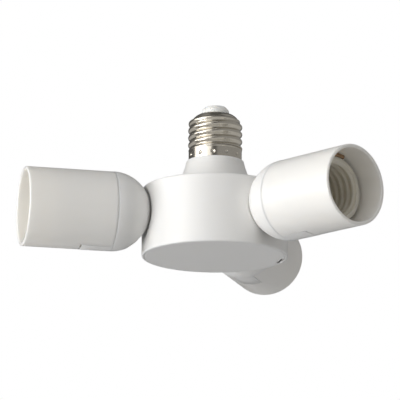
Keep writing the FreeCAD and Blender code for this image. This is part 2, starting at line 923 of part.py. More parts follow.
parts = build()
for name, shape in parts.items():
    solids = shape.Solids
    print(name, len(solids), round(shape.Volume, 2), shape.isValid())
    shape.exportStep(f"parts/{name}.step")
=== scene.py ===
import math

import bpy
import numpy as np
from mathutils import Matrix, Vector


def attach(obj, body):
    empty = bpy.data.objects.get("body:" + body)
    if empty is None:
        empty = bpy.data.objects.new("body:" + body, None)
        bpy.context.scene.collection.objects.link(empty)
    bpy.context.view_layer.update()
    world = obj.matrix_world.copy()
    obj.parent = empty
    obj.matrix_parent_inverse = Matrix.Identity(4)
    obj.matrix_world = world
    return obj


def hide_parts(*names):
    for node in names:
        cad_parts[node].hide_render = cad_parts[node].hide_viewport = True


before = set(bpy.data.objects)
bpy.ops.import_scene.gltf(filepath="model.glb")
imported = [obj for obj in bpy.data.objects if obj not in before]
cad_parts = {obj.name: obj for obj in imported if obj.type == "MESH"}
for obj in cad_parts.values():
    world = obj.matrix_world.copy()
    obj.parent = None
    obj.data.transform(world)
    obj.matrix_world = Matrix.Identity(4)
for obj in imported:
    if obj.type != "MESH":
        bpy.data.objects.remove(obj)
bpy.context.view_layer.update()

MM = 0.001
scene = bpy.context.scene
HEADS = (1, 2, 3)
TURN = 2 * math.pi
DOWN = -math.pi / 2

# directions of the heads, in degrees from X
FIRST_HEAD = 90.0
HEAD_SPACING = 120.0

# sizes in millimetres; most are those of the solids, but the neck's top, the
# band, the shell's top and the plug's top follow later fits to the photo, and
# ball_radius is a little over head_radius for the raised seam
hub_radius = 35.25
hub_height = 33.3
hub_wall = 2.2
hub_rise = 0.9
neck_top_z = 47.3
neck_top_radius = 13.85
neck_foot_radius = 18.16
band_radius = 12.9
band_top_z = 52.5
shell_top_z = 70.8
plug_top_z = 74.8
rim_blend = 1.2
cover_gap = 0.1
cover_radius = 33.95
cover_thickness = 2.0
seat_radius = 20.0
seat_wall = 2.2
head_radius = 19.1
ball_radius = 19.2
head_wall = 2.1
head_axis_z = 19.6
head_distance = 51.1021
sleeve_length = 42.9
sleeve_bore = 17.4
slot_half = 4.3
slot_turn = math.radians(53.0)
pitch = 3.62
dimple_z = 49.6
dimple_turn = math.radians(11.7)
shell_crest = 13.15
shell_root = 12.2
sheet = 0.35
insert_base = 7.4
insert_floor = 9.4
insert_rim = 30.9
insert_radius = 15.4
insert_minor = 12.15
insert_major = 13.25
contact_turn = math.radians(5.0)
saddle_sides = ((6.8, 9.6), (-9.6, -6.8))
trunnion_hole = 2.25
pin_radius = 2.2
knuckle_radius = 6.5
tongue_length = 15.0
tongue_half_width = 5.0
tongue_slot_length = 15.7
tongue_slot_half_width = 5.1
# stands for zero where a lathe's outline touches its axis
on_axis = 1e-4


# Meshes


def put(name, verts, quads, body, nodes, slot, material, crease=34.0):
    """A piece from vertices in mm and four-cornered faces, welded and drawn as triangles."""
    weld_steps_per_mm = 1e4
    keys = np.round(verts * weld_steps_per_mm).astype(np.int64)
    _, first, place = np.unique(keys, axis=0, return_index=True, return_inverse=True)
    quads = place.reshape(-1)[quads]
    tris = np.concatenate([quads[:, [0, 1, 2]], quads[:, [0, 2, 3]]])
    a, b, c = tris.T
    tris = tris[(a != b) & (b != c) & (c != a)]
    used, tris = np.unique(tris, return_inverse=True)
    tris = tris.reshape(-1, 3)
    points = verts[first][used] * MM
    mesh = bpy.data.meshes.new(name)
    mesh.vertices.add(len(points))
    mesh.vertices.foreach_set("co", points.astype(np.float32).ravel())
    mesh.loops.add(tris.size)
    mesh.loops.foreach_set("vertex_index", tris.astype(np.int32).ravel())
    mesh.polygons.add(len(tris))
    mesh.polygons.foreach_set("loop_start", np.arange(0, tris.size, 3, dtype=np.int32))
    mesh.polygons.foreach_set("use_smooth", np.ones(len(tris), dtype=bool))
    mesh.update(calc_edges=True)
    mesh.validate()
    mesh.set_sharp_from_angle(angle=math.radians(crease))
    mesh.materials.append(material)
    piece = bpy.data.objects.new(name, mesh)
    scene.collection.objects.link(piece)
    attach(piece, body)
    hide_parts(*nodes)


def joined(*parts):
    """Several (vertices, quads) as one."""
    verts, quads, base = [], [], 0
    for v, q in parts:
        verts.append(v)
        quads.append(q + base)
        base += len(v)
    return np.concatenate(verts), np.concatenate(quads)


def flipped(part):
    """A part with its faces turned to look the other way."""
    return part[0], part[1][:, ::-1]


def cells_of(index):
    """The four corners of each cell of an array of vertex numbers."""
    return np.stack([index[:-1, :-1], index[1:, :-1], index[1:, 1:], index[:-1, 1:]], axis=-1)


def grid(points, wrap_rows=False, wrap_columns=False):
    """Quads over an array of points (rows, columns, 3), row by row then column."""
    rows, columns = points.shape[:2]
    index = np.arange(rows * columns).reshape(rows, columns)
    if wrap_rows:
        index = np.concatenate([index, index[:1]], axis=0)
    if wrap_columns:
        index = np.concatenate([index, index[:, :1]], axis=1)
    return points.reshape(-1, 3), cells_of(index).reshape(-1, 4)


def about_x(x, r, a):
    """Points at distance r from the X axis, at angle a from Y towards Z."""
    return np.stack([x, r * np.cos(a), r * np.sin(a)], axis=-1)


def turned(profile, angles, shape=None):
    """A closed profile of (radius, height) carried round Z.

    The point at angle a is (r cos a, r sin a, z).  shape, when given, changes
    the radius as a function of (radius, height, angle).
    """
    radius, height = np.asarray(profile, float).T
    r, a = np.meshgrid(radius, angles, indexing="ij")
    z = np.broadcast_to(height[:, None], r.shape)
    if shape is not None:
        r = shape(r, z, a)
    points = np.stack([r * np.cos(a), r * np.sin(a), z], axis=-1)
    return flipped(grid(points, wrap_rows=True, wrap_columns=True))


def round_corners(corners, steps):
    """A closed outline whose corners (a, b, radius) become tangent arcs.

    Each arc leaves the two sides at radius / tan(half the corner's angle).
    """
    out = []
    count = len(corners)
    for i in range(count):
        here = np.array(corners[i][:2], float)
        before = np.array(corners[i - 1][:2], float) - here
        after = np.array(corners[(i + 1) % count][:2], float) - here
        size = corners[i][2]
        if size <= 0:
            out.append(here[None])
            continue
        before /= np.linalg.norm(before)
        after /= np.linalg.norm(after)
        half = math.acos(float(np.clip(before @ after, -1, 1))) / 2
        centre = here + (before + after) / np.linalg.norm(before + after) * size / math.sin(half)
        start = here + before * size / math.tan(half) - centre
        end = here + after * size / math.tan(half) - centre
        sweep = math.atan2(start[0] * end[1] - start[1] * end[0], start @ end)
        t = np.linspace(0, sweep, steps + 1)[:, None]
        side = np.array([-start[1], start[0]])
        out.append(centre + np.cos(t) * start + np.sin(t) * side)
    return np.concatenate(out)


def dense(outline, step):
    """An outline with points added so that none are further apart than step."""
    closed = np.concatenate([outline, outline[:1]])
    out = []
    for a, b in zip(closed, closed[1:]):
        n = max(1, int(math.ceil(np.linalg.norm(b - a) / step)))
        out.append(a + (b - a) * np.linspace(0, 1, n, endpoint=False)[:, None])
    return np.concatenate(out)


def wall(outer, inner, keep=None, wrap=False):
    """A skin between two point grids, with its cut edges closed.

    keep says which cells are there; each edge between a kept cell and a
    missing one becomes a wall from the outer grid to the inner one.
    """
    rows, columns = outer.shape[:2]
    across = columns if wrap else columns - 1
    if keep is None:
        keep = np.ones((rows - 1, across), bool)
    index = np.arange(rows * columns).reshape(rows, columns)
    if wrap:
        index = np.concatenate([index, index[:, :1]], axis=1)
    shift = rows * columns
    cells = cells_of(index)
    quads = [cells[keep], cells[keep][:, ::-1] + shift]
    padded = np.pad(keep, 1)
    if wrap:
        padded[1:-1, 0] = keep[:, -1]
        padded[1:-1, -1] = keep[:, 0]
    neighbours = (
        (padded[1:-1, :-2], 0, 1),
        (padded[2:, 1:-1], 1, 2),
        (padded[1:-1, 2:], 2, 3),
        (padded[:-2, 1:-1], 3, 0),
    )
    for beside, p, q in neighbours:
        edge = keep & ~beside
        a, b = cells[edge][:, p], cells[edge][:, q]
        quads.append(np.stack([b, a, a + shift, b + shift], axis=-1))
    verts = np.concatenate([outer.reshape(-1, 3), inner.reshape(-1, 3)])
    return verts, np.concatenate(quads)


def slab(outline, low, high):
    """A flat plate: a closed outline of (x, z) between two levels of y."""
    outline = np.asarray(outline, float)
    centre = outline.mean(axis=0)
    rings = [(centre, low), (outline, low), (outline, high), (centre, high)]
    rows = np.zeros((4, len(outline), 3))
    for row, (flat, level) in zip(rows, rings):
        row[:, [0, 2]] = flat
        row[:, 1] = level
    part = grid(rows, wrap_columns=True)
    following = np.roll(outline, -1, axis=0)
    area = np.sum(outline[:, 0] * following[:, 1] - outline[:, 1] * following[:, 0])
    return part if area > 0 else flipped(part)


def head_turn(k):
    """Rotation and centre that take a head's own frame to the row frame."""
    a = math.radians(FIRST_HEAD + HEAD_SPACING * (k - 1))
    c, s = math.cos(a), math.sin(a)
    turn = np.array([[c, -s, 0], [s, c, 0], [0, 0, 1.0]])
    return turn, np.array([head_distance * c, head_distance * s, head_axis_z])


def in_head(k, part):
    """A (vertices, quads) part moved from the head's own frame to its place."""
    turn, centre = head_turn(k)
    return part[0] @ turn.T + centre, part[1]


def lathe_x(profile, angles, shape=None):
    """A closed profile of (radius, x) carried round the X axis of a head."""
    verts, quads = turned(profile, angles, shape)
    return verts[:, [2, 0, 1]], quads


def turned_x(part, angle):
    """A part turned about X by an angle, positive from Y towards Z."""
    c, s = math.cos(angle), math.sin(angle)
    turn = np.array([[1, 0, 0], [0, c, -s], [0, s, c]])
    return part[0] @ turn.T, part[1]


# Materials


def linear(code):
    """A hex colour in sRGB as linear RGBA."""
    parts = np.array([int(code[i:i + 2], 16) / 255 for i in (1, 3, 5)])
    low = parts / 12.92
    high = ((parts + 0.055) / 1.055) ** 2.4
    return (*np.where(parts <= 0.04045, low, high).tolist(), 1.0)


def add(tree, kind, settings=None, links=None):
    """Adds a node; settings by attribute or input name, links as input name to socket."""
    made = tree.nodes.new(kind)
    for key, value in (settings or {}).items():
        if isinstance(key, str) and hasattr(made, key):
            setattr(made, key, value)
        else:
            made.inputs[key].default_value = value
    for key, socket in (links or {}).items():
        tree.links.new(socket, made.inputs[key])
    return made


def start_material(name):
    """An empty node material with its output node."""
    material = bpy.data.materials.new(name)
    material.use_nodes = True
    tree = material.node_tree
    tree.nodes.clear()
    return material, tree, add(tree, "ShaderNodeOutputMaterial")


def moulded(name, colour, shade, rough, ior, grain_mm, lift_mm, flow_mm, depth_mm=0.0):
    """An injection-moulded plastic.

    Two noises: flow marks tens of millimetres long that change tone and
    gloss a little, and the tool's fine spark-eroded grain as bump.  depth_mm
    is how far light spreads inside, so that thin walls glow on their far side.
    """
    gloss_change = 0.03
    glow_share = 0.85 if depth_mm else 0.0
    material, tree, out = start_material(name)
    place = add(tree, "ShaderNodeTexCoord").outputs["Object"]
    flow = add(tree, "ShaderNodeTexNoise", {"Scale": 1000 / flow_mm, "Detail": 2.0},
               {"Vector": place})
    tone = add(tree, "ShaderNodeMix", {"data_type": "RGBA", 6: linear(shade), 7: linear(colour)},
               {0: flow.outputs["Fac"]})
    gloss = add(tree, "ShaderNodeMapRange", {"To Min": rough - gloss_change,
                                             "To Max": rough + gloss_change},
                {"Value": flow.outputs["Fac"]})
    grain = add(tree, "ShaderNodeTexNoise", {"Scale": 1000 / grain_mm, "Detail": 1.0},
                {"Vector": place})
    bump = add(tree, "ShaderNodeBump", {"Strength": 0.25, "Distance": lift_mm * MM},
               {"Height": grain.outputs["Fac"]})
    shader = add(tree, "ShaderNodeBsdfPrincipled",
                 {"IOR": ior, "Subsurface Weight": glow_share,
                  "Subsurface Radius": (1.0, 0.97, 0.93), "Subsurface Scale": depth_mm * MM},
                 {"Base Color": tone.outputs[2], "Roughness": gloss.outputs[0],
                  "Normal": bump.outputs[0]})
    tree.links.new(shader.outputs[0], out.inputs[0])
    return material


def metal(name, colour, shade, rough, grain_mm, stretch, lift_mm):
    """A worked metal whose marks run round Z: a noise squeezed along Z.

    stretch is how many times longer a mark is round the axis than across it.
    """
    stain_mm = 6.0
    smoother = 0.05
    rougher = 0.07
    material, tree, out = start_material(name)
    place = add(tree, "ShaderNodeTexCoord").outputs["Object"]
    squeezed = add(tree, "ShaderNodeMapping", {"Scale": (1.0, 1.0, stretch)}, {"Vector": place})
    marks = add(tree, "ShaderNodeTexNoise", {"Scale": 1000 / grain_mm, "Detail": 3.0},
                {"Vector": squeezed.outputs[0]})
    stain = add(tree, "ShaderNodeTexNoise", {"Scale": 1000 / stain_mm, "Detail": 2.0},
                {"Vector": place})
    tone = add(tree, "ShaderNodeMix", {"data_type": "RGBA", 6: linear(shade), 7: linear(colour)},
               {0: stain.outputs["Fac"]})
    gloss = add(tree, "ShaderNodeMapRange", {"To Min": rough - smoother, "To Max": rough + rougher},
                {"Value": marks.outputs["Fac"]})
    bump = add(tree, "ShaderNodeBump", {"Strength": 0.3, "Distance": lift_mm * MM},
               {"Height": marks.outputs["Fac"]})
    shader = add(tree, "ShaderNodeBsdfPrincipled", {"Metallic": 1.0},
                 {"Base Color": tone.outputs[2], "Roughness": gloss.outputs[0],
                  "Normal": bump.outputs[0]})
    tree.links.new(shader.outputs[0], out.inputs[0])
    return material


# glossy ABS straight from a polished tool: bright white, with a soft sheen
polished_abs = moulded("injection_moulded_abs_white", "#F1F0EE", "#EDECE9", rough=0.3, ior=1.53,
                       grain_mm=0.35, lift_mm=0.004, flow_mm=30.0, depth_mm=1.6)
# the same ABS in the thin walls of the sleeves, where more light comes through; its lighter, warmer
# colour than the hub's is painted glow
thin_abs_painted_glow = moulded("injection_moulded_abs_thin_wall_painted_glow", "#F6F3EE", "#F3F0EA", rough=0.3, ior=1.53,
                   grain_mm=0.35, lift_mm=0.004, flow_mm=30.0, depth_mm=2.2)
# the same ABS on the arms, which are turned from rod and so a little duller
arm_abs = moulded("turned_abs_white", "#E6E6E4", "#E0E0DE", rough=0.42, ior=1.53,
                  grain_mm=0.3, lift_mm=0.01, flow_mm=12.0)
# heat-proof PBT polyester of the thread inserts: creamier and matt
insert_pbt = moulded("moulded_pbt_cream_white", "#EEEADE", "#E6E1D3", rough=0.5, ior=1.57,
                     grain_mm=0.5, lift_mm=0.012, flow_mm=14.0, depth_mm=3.0)
# urea plug of the base: whiter and smoother than the inserts
plug_urea = moulded("moulded_urea_white", "#F8F7F4", "#F5F4F0", rough=0.38, ior=1.55,
                    grain_mm=0.5, lift_mm=0.006, flow_mm=10.0, depth_mm=1.2)
# nickel on rolled brass sheet: warm grey, with fine lines round the axis from rolling
rolled_nickel = metal("rolled_nickel_plated_brass", "#D8D2C6", "#C9C2B4", rough=0.2,
                      grain_mm=0.9, stretch=6.0, lift_mm=0.006)
# half-hard brass strip, blanked and bent, bright but not polished
strip_brass = metal("stamped_spring_brass", "#D9B56A", "#C79F55", rough=0.28,
                    grain_mm=0.8, stretch=3.0, lift_mm=0.006)
# copper strip gone dull with handling
strip_copper = metal("stamped_copper_strip", "#A98D70", "#8C7258", rough=0.46,
                     grain_mm=0.8, stretch=3.0, lift_mm=0.006)
# bright zinc on steel, tumbled in a barrel
zinc = metal("barrel_zinc_plated_steel", "#C3C6C8", "#AEB1B4", rough=0.34,
             grain_mm=0.7, stretch=1.0, lift_mm=0.01)
# soft PVC insulation, extruded: smooth along its length
live_pvc = moulded("extruded_pvc_brown", "#5A3A26", "#52331F", rough=0.4, ior=1.54,
                   grain_mm=0.6, lift_mm=0.006, flow_mm=9.0)
neutral_pvc = moulded("extruded_pvc_blue", "#2F5E9E", "#29548F", rough=0.4, ior=1.54,
                      grain_mm=0.6, lift_mm=0.006, flow_mm=9.0)
# nylon closed-end caps, slightly yellowish white
cap_nylon = moulded("moulded_nylon_natural", "#DAD7CB", "#D0CCBE", rough=0.38, ior=1.53,
                    grain_mm=0.5, lift_mm=0.01, flow_mm=8.0)


# The hub


def seat_reach(height, angle, radius):
    """Distance from Z to the near side of the closest seat ball, far away where it is missed.

    A ray at angle f from the ball's own azimuth, at height h from its centre,
    meets it at c cos f - sqrt(R^2 - h^2 - c^2 sin^2 f).
    """
    spacing = math.radians(HEAD_SPACING)
    f = (angle - math.radians(FIRST_HEAD) + spacing / 2) % spacing - spacing / 2
    inside = radius**2 - (height - head_axis_z) ** 2 - (head_distance * np.sin(f)) ** 2
    near = head_distance * np.cos(f) - np.sqrt(np.maximum(inside, 0))
    miss_slope = 4.0
    return near + miss_slope * np.sqrt(np.maximum(-inside, 0))


def soft_least(a, b, blend):
    """The lesser of two numbers, rounded over where they are closer than blend."""
    share = np.clip(0.5 + 0.5 * (b - a) / blend, 0, 1)
    return b + (a - b) * share - blend * share * (1 - share)


def hub_shape(r, z, a):
    """The drum's outside dips into the seats, and its inside follows a wall behind.

    Only points near the two upright walls move, so the rounded edges keep their form.
    """
    reach = 0.6
    low_edge = 0.5
    high_edge = 0.4
    bore = hub_radius - hub_wall
    outside = soft_least(r, seat_reach(z, a, seat_radius), rim_blend)
    inside = np.minimum(r, seat_reach(z, a, seat_radius + seat_wall))
    upright = (z > low_edge) & (z < hub_height - high_edge)
    is_outer = upright & (r > hub_radius - reach)
    is_inner = upright & (r > bore - reach) & (r < bore + 0.2)
    return np.where(is_outer, outside, np.where(is_inner, inside, r))


def hub_angles():
    """Angles round Z, closer together where the seats are; the numbers are degrees."""
    seat_half = 19.0
    seat_step = 0.45
    plain_step = 2.0
    seat = np.radians(np.arange(-seat_half, seat_half, seat_step))
    between = np.radians(np.arange(seat_half, HEAD_SPACING - seat_half, plain_step))
    sector = np.concatenate([seat, between])
    starts = [math.radians(FIRST_HEAD + HEAD_SPACING * turn) for turn in range(len(HEADS))]
    return np.concatenate([sector + start for start in starts])


def make_hub():
    """Drum and neck: one closed outline, up the outside and down the inside.

    Each corner is (radius, height, rounding).  Inside, where nobody looks,
    only every third row is kept, apart from those near the neck's foot.
    """
    top = hub_height + hub_rise
    bore = hub_radius - hub_wall
    cover_seat = cover_radius + cover_gap
    shell_seat = band_radius - sheet - 0.1
    spigot_radius = 11.75
    spigot_bore = 9.75
    spigot_top_z = 61.3
    corners = [
        (cover_seat, 0.0, 0.2),
        (hub_radius, 0.0, 0.8),
        (hub_radius, hub_height, 1.0),
        (neck_foot_radius, top, 2.4),
        (14.7, 44.0, 8.0),
        (neck_top_radius, neck_top_z, 0.3),
        (shell_seat, neck_top_z, 0),
        (shell_seat, 50.2, 0),
        (spigot_radius, 51.2, 0),
        (spigot_radius, spigot_top_z, 0),
        (spigot_bore, spigot_top_z, 0),
        (spigot_bore, 47.8, 0),
        (15.76, 31.8, 0),
        (bore, hub_height - 2.4, 0),
        (bore, cover_thickness, 0),
        (cover_seat, cover_thickness, 0),
    ]
    outline = dense(round_corners(corners, 7), 0.45)
    radius, height = outline.T
    outer = radius > bore + 0.5
    beside_neck = (radius > neck_top_radius - 0.02) & (radius < neck_foot_radius + 3.5)
    keep = outer | (beside_neck & (height > hub_height))
    keep[np.flatnonzero(~outer)[::3]] = True
    part = turned(outline[keep], hub_angles(), hub_shape)
    put("hub_drum_and_neck", *part, "hub", ["hub_housing"], "white_abs", polished_abs)


def make_cover():
    """Round plate: an outline with rounded edges, dipped at the pry notch."""
    notch_at = math.radians(30.0)
    notch_half = 5.0
    notch_depth = 1.6
    notch_slope = 0.3
    fine_half = 0.22
    corners = [
        (0.0, 0.0, 0),
        (cover_radius, 0.0, 0.25),
        (cover_radius, cover_thickness, 0.1),
        (0.0, cover_thickness, 0),
    ]
    fine = np.linspace(-fine_half, fine_half, 45)
    coarse = np.linspace(fine_half, TURN - fine_half, 150)[1:-1]
    angles = np.concatenate([fine, coarse]) + notch_at

    def notch(r, z, a):
        side = (a - notch_at + math.pi) % TURN - math.pi
        across = np.abs(side * cover_radius)
        dip = np.clip((notch_half - across) / notch_slope, 0, 1) * notch_depth
        return np.where((r > cover_radius - 0.6) & (z < 1.3), r - dip, r)

    part = turned(dense(round_corners(corners, 4), 1.0), angles, notch)
    put("hub_bottom_cover", *part, "hub", ["bottom_cover"], "white_abs", polished_abs)


# The screw base


def bezier(handles, count):
    """Points on a cubic curve with four handles."""
    t = np.linspace(0, 1, count)[:, None]
    a, b, c, d = np.asarray(handles, float)
    return (1 - t) ** 3 * a + 3 * t * (1 - t) ** 2 * b + 3 * t**2 * (1 - t) * c + t**3 * d


def ease(value, start, end):
    """0 before start, 1 after end, with a smooth rise between."""
    t = np.clip((value - start) / (end - start), 0, 1)
    return t * t * (3 - 2 * t)


def make_shell():
    """Rolled shell: a plain outline at the thread's root, with the thread and dimples on it.

    The thread stands out along the outline's normal by
    depth (1 + cos p + fullness (1 - cos 2p)), where p is
    2 pi (z - first_crest) / pitch - a.
    Each dimple is a bowl pressed in round a point of the band.
    """
    depth = (shell_crest - shell_root) / 2
    fullness = 0.12
    first_crest = 53.5
    root_foot_z = band_top_z + 0.7
    thread_fade = (66.5, 68.0)
    shoulder_z = 65.2
    tip_radius = 6.9
    dimple_count = 12
    dimple_radius = 0.85
    dimple_depth = 0.5
    band = np.stack([np.full(32, band_radius), np.linspace(neck_top_z, band_top_z, 32)], axis=1)
    z = np.linspace(band_top_z, shoulder_z, 120)[1:]
    drop = (band_radius - shell_root) * ease(z, band_top_z, root_foot_z)
    tube = np.stack([band_radius - drop, z], axis=1)
    handles = [(shell_root, shoulder_z), (shell_root, 67.4), (9.9, 70.5), (tip_radius, shell_top_z)]
    outer = np.concatenate([band, tube, bezier(handles, 44)[1:]])
    tangent = np.gradient(outer, axis=0)
    normal = np.stack([tangent[:, 1], -tangent[:, 0]], axis=1)
    normal /= np.linalg.norm(normal, axis=1)[:, None]
    inner = outer - normal * sheet
    angles = np.linspace(0, TURN, 240, endpoint=False)
    height = outer[:, 1:]
    share = ease(height, band_top_z - 0.2, root_foot_z) * (1 - ease(height, *thread_fade))
    phase = TURN * (height - first_crest) / pitch - angles
    wave = depth * share * (1 + np.cos(phase) + fullness * (1 - np.cos(2 * phase)))
    spacing = TURN / dimple_count
    side = ((angles - dimple_turn + spacing / 2) % spacing - spacing / 2) * band_radius
    reach = np.hypot(side[None], height - dimple_z) / dimple_radius
    dent = -dimple_depth * np.clip(1 - reach**2, 0, 1) ** 0.8
    move = wave + np.where(height < band_top_z - 0.3, dent, 0)
    rows = []
    for line, way, shift in ((outer, normal, move), (inner[::-1], normal[::-1], move[::-1])):
        r = line[:, :1] + shift * way[:, :1]
        h = line[:, 1:] + shift * way[:, 1:]
        rows.append(np.stack([r * np.cos(angles), r * np.sin(angles), h], axis=-1))
    part = flipped(grid(np.concatenate(rows), wrap_rows=True, wrap_columns=True))
    put("rolled_screw_shell", *part, "hub", ["screw_shell"], "nickel_plate", rolled_nickel, 50.0)


def make_plug():
    """The white plug and its riveted tip, both turned outlines of (radius, height)."""
    rivet_hole = 1.55
    plug_base_z = 66.5
    plug_core = 5.6
    lip_z = shell_top_z - 0.3
    around = np.linspace(0, TURN, 120, endpoint=False)
    corners = [
        (rivet_hole, plug_base_z, 0),
        (plug_core, plug_base_z, 0.3),
        (plug_core, lip_z, 0),
        (6.5, lip_z, 0),
        (6.75, shell_top_z + 0.05, 0.1),
        (6.6, 72.8, 1.2),
        (5.2, 74.45, 0.8),
        (3.9, plug_top_z, 0.4),
        (rivet_hole, plug_top_z, 0),
    ]
    part = turned(dense(round_corners(corners, 6), 0.6), around)
    put("shell_plug", *part, "hub", ["cap_insulator"], "white_insulator", plug_urea)
    tip_radius = 3.1
    tip_rise = 0.55
    shank_radius = 1.5
    shank_foot_z = 68.2
    t = np.linspace(0, 1, 12)
    dome = np.stack([tip_radius * np.sqrt(1 - t**2), plug_top_z + tip_rise * t], axis=1)
    shank = np.array([(0.0, shank_foot_z), (shank_radius, shank_foot_z),
                      (shank_radius, plug_top_z)])
    part = turned(np.concatenate([shank, dome]), around[::2])
    put("tip_contact_rivet", *part, "hub", ["tip_contact"], "brass", strip_brass)


# The heads


def slot_edge(half, size):
    """The slot's edge on a ball, once round: unit directions times size.

    The sides are lines of constant y at angle f from -X in the XZ plane,
    and the ends are half circles about the two end directions.
    """
    y = half / ball_radius
    level = math.sqrt(1 - y * y)
    f = np.linspace(-slot_turn, slot_turn, 60)
    side = np.stack([-level * np.cos(f), np.full_like(f, y), level * np.sin(f)], axis=1)
    e = np.linspace(0, math.pi, 26)[1:-1, None]
    ahead = np.array([-math.cos(slot_turn), 0, math.sin(slot_turn)])
    beyond = np.array([math.sin(slot_turn), 0, math.cos(slot_turn)])
    across = np.array([0, 1, 0])
    end = level * ahead + y * (np.cos(e) * across + np.sin(e) * beyond)
    flip = np.array([1, -1, -1])
    return np.concatenate([side, end, side * flip, end * flip]) * size


def angle_between(a, b):
    """The angle between matching rows of two arrays of unit vectors, as a column."""
    return np.arccos(np.clip(np.sum(a * b, axis=1), -1, 1))[:, None]


def great_circle(a, b, gap, t):
    """The point a share t of the way from a to b, which are gap apart on a unit ball."""
    return (np.sin((1 - t) * gap) * a + np.sin(t * gap) * b) / np.sin(gap)


def ball_shell():
    """Half ball with its slot.

    Rows run from the slot's edge to the seam along great circles, once on
    the outside and once on the inside, and the lip between is rounded.  At
    the seam the outside ends in a narrow slope down to the sleeve.
    """
    lip = 0.3
    seam_slope = 0.45
    seam_set_back = 0.2
    seam_top = ball_radius - 0.04
    seam_foot = ball_radius - 0.14
    inner_radius = head_radius - head_wall
    edge = slot_edge(slot_half + lip, 1.0)
    inner_edge = slot_edge(slot_half, 1.0)
    seam = edge * np.array([0, 1, 1])
    seam /= np.linalg.norm(seam, axis=1)[:, None]
    gap = angle_between(edge, seam)
    inner_gap = angle_between(inner_edge, seam)
    last = 1 - seam_slope / ball_radius / gap
    rows = [ball_radius * great_circle(edge, seam, gap, t * last) for t in np.linspace(0, 1, 40)]
    rows.append(seam * seam_top - np.array([seam_set_back, 0.0, 0.0]))
    rows.append(seam * seam_foot)
    rows.append(seam * inner_radius)
    for t in np.linspace(0.94, 0, 16):
        rows.append(inner_radius * great_circle(inner_edge, seam, inner_gap, t))
    for a in np.linspace(0, math.pi / 2, 6)[:-1]:
        half = slot_half + lip * (1 - math.cos(a))
        rows.append(slot_edge(half, ball_radius - lip * (1 - math.sin(a))))
    return flipped(grid(np.stack(rows), wrap_rows=True, wrap_columns=True))


def saddle_plates():
    """The two plates in the ball that hold the pin, each with half a hole in its front edge."""
    depth = 13.8
    half_height = 5.5
    bow = np.linspace(DOWN, 3 * DOWN, 13)[1:]
    x = np.concatenate([[0.0, -depth, -depth, 0.0, 0.0], trunnion_hole * np.cos(bow)])
    z = np.concatenate([[half_height, half_height, -half_height, -half_height, -trunnion_hole],
                        trunnion_hole * np.sin(bow)])
    return [slab(np.stack([x, z], axis=1), low, high) for low, high in saddle_sides]


def locking_tongue():
    """The ball end's tongue in the sleeve's slot, a little proud of the sleeve.

    along and proud are x and the height over the sleeve, row by row.
    """
    half = tongue_half_width / head_radius
    a = DOWN + np.linspace(-half, half, 17)
    along = np.array([0.0, 0.12, 7.0, 14.8, tongue_length])
    proud = np.array([-0.03, 0.06, 0.12, 0.12, 0.0])
    x, a = np.meshgrid(along, a, indexing="ij")
    r = np.broadcast_to((head_radius + proud)[:, None], x.shape)
    return wall(about_x(x, r, a), about_x(x, sleeve_bore, a))


def make_dome(k):
    """Ball end: the slotted half ball, the saddle plates and the tongue."""
    part = in_head(k, joined(ball_shell(), *saddle_plates(), locking_tongue()))
    put(f"ball_end_{k}", *part, f"head_{k}", [f"head_dome_{k}"], "white_abs", polished_abs)


def make_sleeve(k):
    """Round sleeve: outside and inside grids of (x, angle), with the tongue's slot left out."""
    edge = 0.6
    seam_dip = 0.04
    ledge_low = 9.5
    ledge_high = 10.7
    ledge_height = 1.0
    step = 0.02
    lines = np.concatenate([
        [0.0, 0.14],
        np.linspace(1.0, 9.4, 6),
        [ledge_low, ledge_low + step, ledge_high, ledge_high + step],
        [13.0, tongue_slot_length],
        np.linspace(18.0, sleeve_length - edge, 12),
    ])
    outer_r = np.full(len(lines), head_radius)
    outer_r[0] = head_radius - seam_dip
    on_ledge = (lines > ledge_low + step / 2) & (lines < ledge_high + step / 2)
    inner_r = np.where(on_ledge, sleeve_bore - ledge_height, sleeve_bore)
    bend = np.linspace(0, math.pi / 2, 7)[1:]
    x = np.concatenate([lines, sleeve_length - edge + edge * np.sin(bend)])
    outer_r = np.concatenate([outer_r, head_radius - edge + edge * np.cos(bend)])
    inner_r = np.concatenate([inner_r, sleeve_bore + edge - edge * np.cos(bend)])
    half = tongue_slot_half_width / head_radius
    slot = np.linspace(DOWN - half, DOWN + half, 9)
    rest = np.linspace(DOWN + half, DOWN - half + TURN, 152)[1:-1]
    angles = np.concatenate([slot, rest])
    grids = []
    for radii in (outer_r, inner_r):
        r, a = np.meshgrid(radii, angles, indexing="ij")
        grids.append(about_x(np.broadcast_to(x[:, None], r.shape), r, a))
    keep = np.ones((len(x) - 1, len(angles)), bool)
    keep[:np.searchsorted(x, tongue_slot_length), :len(slot) - 1] = False
    part = in_head(k, wall(*grids, keep=keep, wrap=True))
    # the sleeve's plastic is the lighter, warmer copy of the ABS, a painted glow
    put(f"lamp_sleeve_tube_{k}", *part, f"head_{k}", [f"lamp_sleeve_{k}"], "white_abs", thin_abs_painted_glow)


def groove(x, a):
    """Depth share of the lamp thread: flat lands with rounded grooves between.

    The share of a turn from the middle of a land says how deep the groove is.
    """
    land_end = 0.08
    full_depth_at = 0.36
    phase = (x / pitch - a / TURN) % 1.0
    return ease(0.5 - np.abs(phase - 0.5), land_end, full_depth_at)


